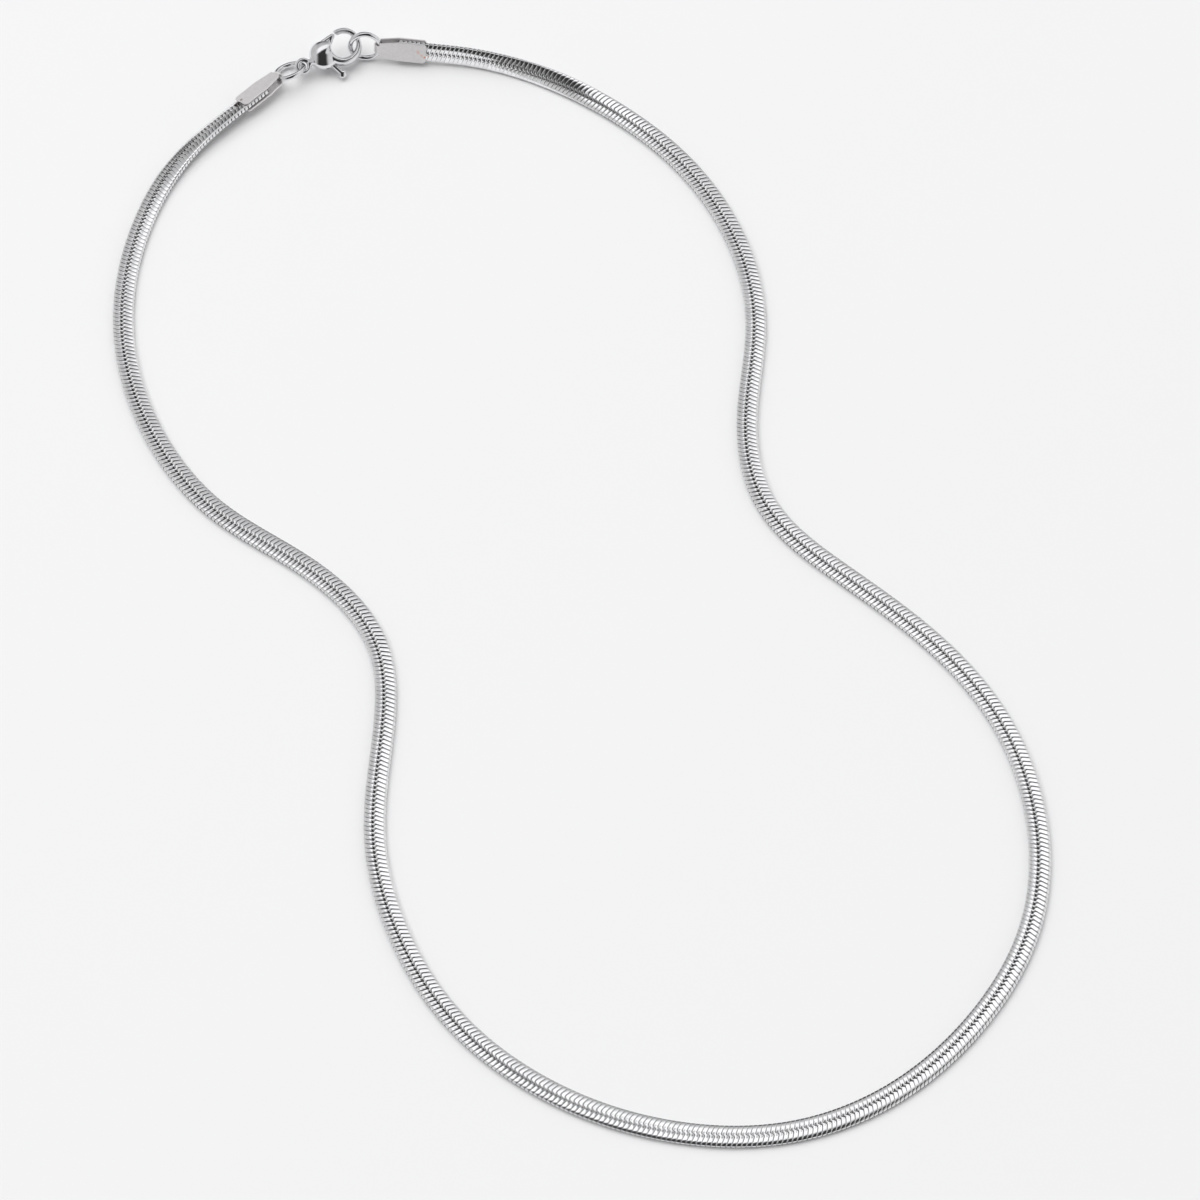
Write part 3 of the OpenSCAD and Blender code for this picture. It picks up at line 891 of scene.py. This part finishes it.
def make_floor(settings):
    """A wide flat sheet under the necklace."""
    points = FLOOR_HALF * np.array([(-1, -1, 0), (1, -1, 0), (1, 1, 0), (-1, 1, 0)])
    floor = mesh_object("floor", points, [[0, 1, 2, 3]], smooth=False)
    material, tree = new_material("matt white board")
    place = add_node(tree, "ShaderNodeTexCoord")
    grain = add_node(tree, "ShaderNodeTexNoise", {"Vector": place.outputs["Object"]}, {"Scale": 3.0})
    shade = add_node(tree, "ShaderNodeMapRange", {"Value": grain.outputs["Fac"]},
                     {"To Min": 0.985, "To Max": 1.0})
    colour = add_node(tree, "ShaderNodeVectorMath", {"Scale": shade.outputs[0]}, {0: settings.floor},
                      operation="SCALE")
    shader = add_node(tree, "ShaderNodeBsdfPrincipled", {"Base Color": colour.outputs[0]},
                      {"Roughness": 0.9, "Specular IOR Level": 0.2})
    finish_material(tree, shader)
    floor.data.materials.append(material)


def make_light(settings):
    """A soft area light behind and above, for the floor alone: it doesn't show in the metal."""
    data = bpy.data.lights.new("soft light", "AREA")
    data.shape = "SQUARE"
    data.size = LAMP_SIZE
    data.energy = settings.key
    lamp = bpy.data.objects.new("soft light", data)
    bpy.context.scene.collection.objects.link(lamp)
    lamp.location = LAMP_PLACE
    aim = Vector((0, 0, 0)) - lamp.location
    lamp.rotation_euler = aim.to_track_quat("-Z", "Y").to_euler()
    lamp.visible_glossy = False


def make_surroundings():
    """What the metal mirrors: a pale ceiling at the back, and a dark room in front and low behind.

    The angle from the back horizon over the zenith to the front horizon, atan2(z, y) plus a slant with x,
    picks the brightness, and far to the sides an even grey takes over.
    """
    world = bpy.data.worlds.new("soft studio")
    bpy.context.scene.world = world
    world.use_nodes = True
    tree = world.node_tree
    tree.nodes.clear()
    place = add_node(tree, "ShaderNodeTexCoord")
    parts = add_node(tree, "ShaderNodeSeparateXYZ", {"Vector": place.outputs["Generated"]})
    angle = add_node(tree, "ShaderNodeMath", {0: parts.outputs["Z"], 1: parts.outputs["Y"]},
                     operation="ARCTAN2")
    turn = add_node(tree, "ShaderNodeMath", {0: parts.outputs["X"]}, {1: math.radians(SKY_SLANT)},
                    operation="MULTIPLY")
    slanted = add_node(tree, "ShaderNodeMath", {0: angle.outputs[0], 1: turn.outputs[0]}, operation="ADD")
    share = add_node(tree, "ShaderNodeMath", {0: slanted.outputs[0]}, {1: 1 / math.pi}, operation="MULTIPLY")
    bands = add_node(tree, "ShaderNodeValToRGB", {"Fac": share.outputs[0]})
    set_ramp(bands.color_ramp, [(at / 180, (tone, tone, tone * 1.01, 1.0)) for at, tone in SKY])
    side = add_node(tree, "ShaderNodeMapRange", {"Value": parts.outputs["X"]},
                    {"From Min": -0.9, "From Max": 0.9, "To Min": 0.60, "To Max": 0.78})
    away = add_node(tree, "ShaderNodeMath", {0: parts.outputs["X"]}, operation="ABSOLUTE")
    weight = add_node(tree, "ShaderNodeMapRange", {"Value": away.outputs[0]},
                      {"From Min": 0.32, "From Max": 0.62}, interpolation_type="SMOOTHSTEP")
    mixed = add_node(tree, "ShaderNodeMixRGB", {"Fac": weight.outputs[0], "Color1": bands.outputs[0],
                                                "Color2": side.outputs[0]})
    seen = add_node(tree, "ShaderNodeLightPath")
    mirrored = add_node(tree, "ShaderNodeBackground", {"Color": mixed.outputs[0]}, {"Strength": 1.0})
    plain = add_node(tree, "ShaderNodeBackground", None, {"Color": linear("#f7f7f8"), "Strength": 1.0})
    both = add_node(tree, "ShaderNodeMixShader", {0: seen.outputs["Is Camera Ray"], 1: mirrored.outputs[0],
                                                  2: plain.outputs[0]})
    add_node(tree, "ShaderNodeOutputWorld", {"Surface": both.outputs[0]})


def make_camera():
    """The photograph's view: straight from the front, 61.5 degrees down, with a 144 mm lens."""
    data = bpy.data.cameras.new("camera")
    data.sensor_width = 36
    data.lens = 144
    camera = bpy.data.objects.new("camera", data)
    bpy.context.scene.collection.objects.link(camera)
    camera.location = CAMERA_PLACE
    camera.rotation_euler = (math.radians(90 - CAMERA_DOWN), 0, 0)
    bpy.context.scene.camera = camera
    bpy.context.scene.view_settings.view_transform = "Standard"


class NECKLACE_PT_panel(bpy.types.Panel):
    """The pieces of the necklace"""
    bl_idname = "NECKLACE_PT_panel"
    bl_label = "Necklace"
    bl_space_type = "VIEW_3D"
    bl_region_type = "UI"
    bl_category = "Necklace"

    def draw(self, context):
        layout = self.layout
        for kind in OPERATORS:
            layout.operator(kind.bl_idname)
        for name in ("pitch", "seam", "shoulder", "drop", "crest", "metal"):
            layout.prop(context.scene.necklace_chain, name)
        for name in ("floor", "key"):
            layout.prop(context.scene.necklace_stage, name)


GROUPS = (("necklace_chain", ChainSettings), ("necklace_stage", StageSettings))
OPERATORS = (NECKLACE_OT_chain, NECKLACE_OT_end_caps, NECKLACE_OT_fittings, NECKLACE_OT_stage)


def register():
    for name, group in GROUPS:
        bpy.utils.register_class(group)
        setattr(bpy.types.Scene, name, bpy.props.PointerProperty(type=group))
    for kind in OPERATORS + (NECKLACE_PT_panel,):
        bpy.utils.register_class(kind)


def unregister():
    for kind in (NECKLACE_PT_panel,) + OPERATORS[::-1]:
        bpy.utils.unregister_class(kind)
    for name, group in GROUPS[::-1]:
        delattr(bpy.types.Scene, name)
        bpy.utils.unregister_class(group)


def main():
    register()
    bpy.ops.necklace.chain()
    bpy.ops.necklace.end_caps()
    bpy.ops.necklace.fittings()
    bpy.ops.necklace.stage()


if __name__ == "__main__":
    main()
